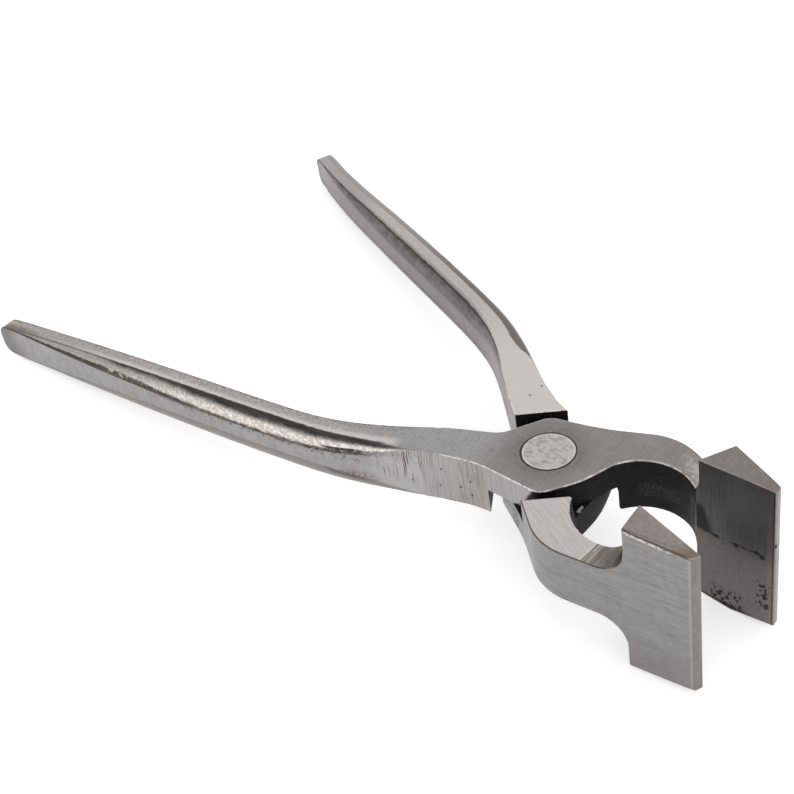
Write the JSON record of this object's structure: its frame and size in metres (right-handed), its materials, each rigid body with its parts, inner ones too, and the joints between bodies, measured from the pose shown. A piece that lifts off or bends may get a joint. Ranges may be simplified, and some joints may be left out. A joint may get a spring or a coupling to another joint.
{
  "type": "wide-jaw pliers",
  "caption": "Wide-jaw hand pliers with lapped forged steel halves that turn on a flush rivet, a round throat and tall flat jaw plates that meet at their tips.",
  "frame": {"origin": "on the pivot axis, at the centre of the joint's lower face", "axes": "+X from the pivot towards the jaws, along the middle line between the halves; +Z along the rivet, towards the half that laps on top; +Y to the left, towards the upper half's jaw"},
  "size_m": [0.2399, 0.1328, 0.0472],
  "materials": {
    "forged_steel": "ground and lightly brushed, dark forge scale left in the hollows",
    "rivet_steel": "ground flush, faint scratches"
  },
  "bodies": {
    "upper": {"upper_half": "forged_steel", "rivet": "rivet_steel"},
    "lower": {"lower_half": "forged_steel"}
  },
  "joints": [
    {"name": "pivot", "type": "hinge", "parent": "upper", "child": "lower", "pos_m": [0, 0, 0.008], "axis": [0, 0, -1], "range_deg": [-23.3, 45.5]}
  ]
}
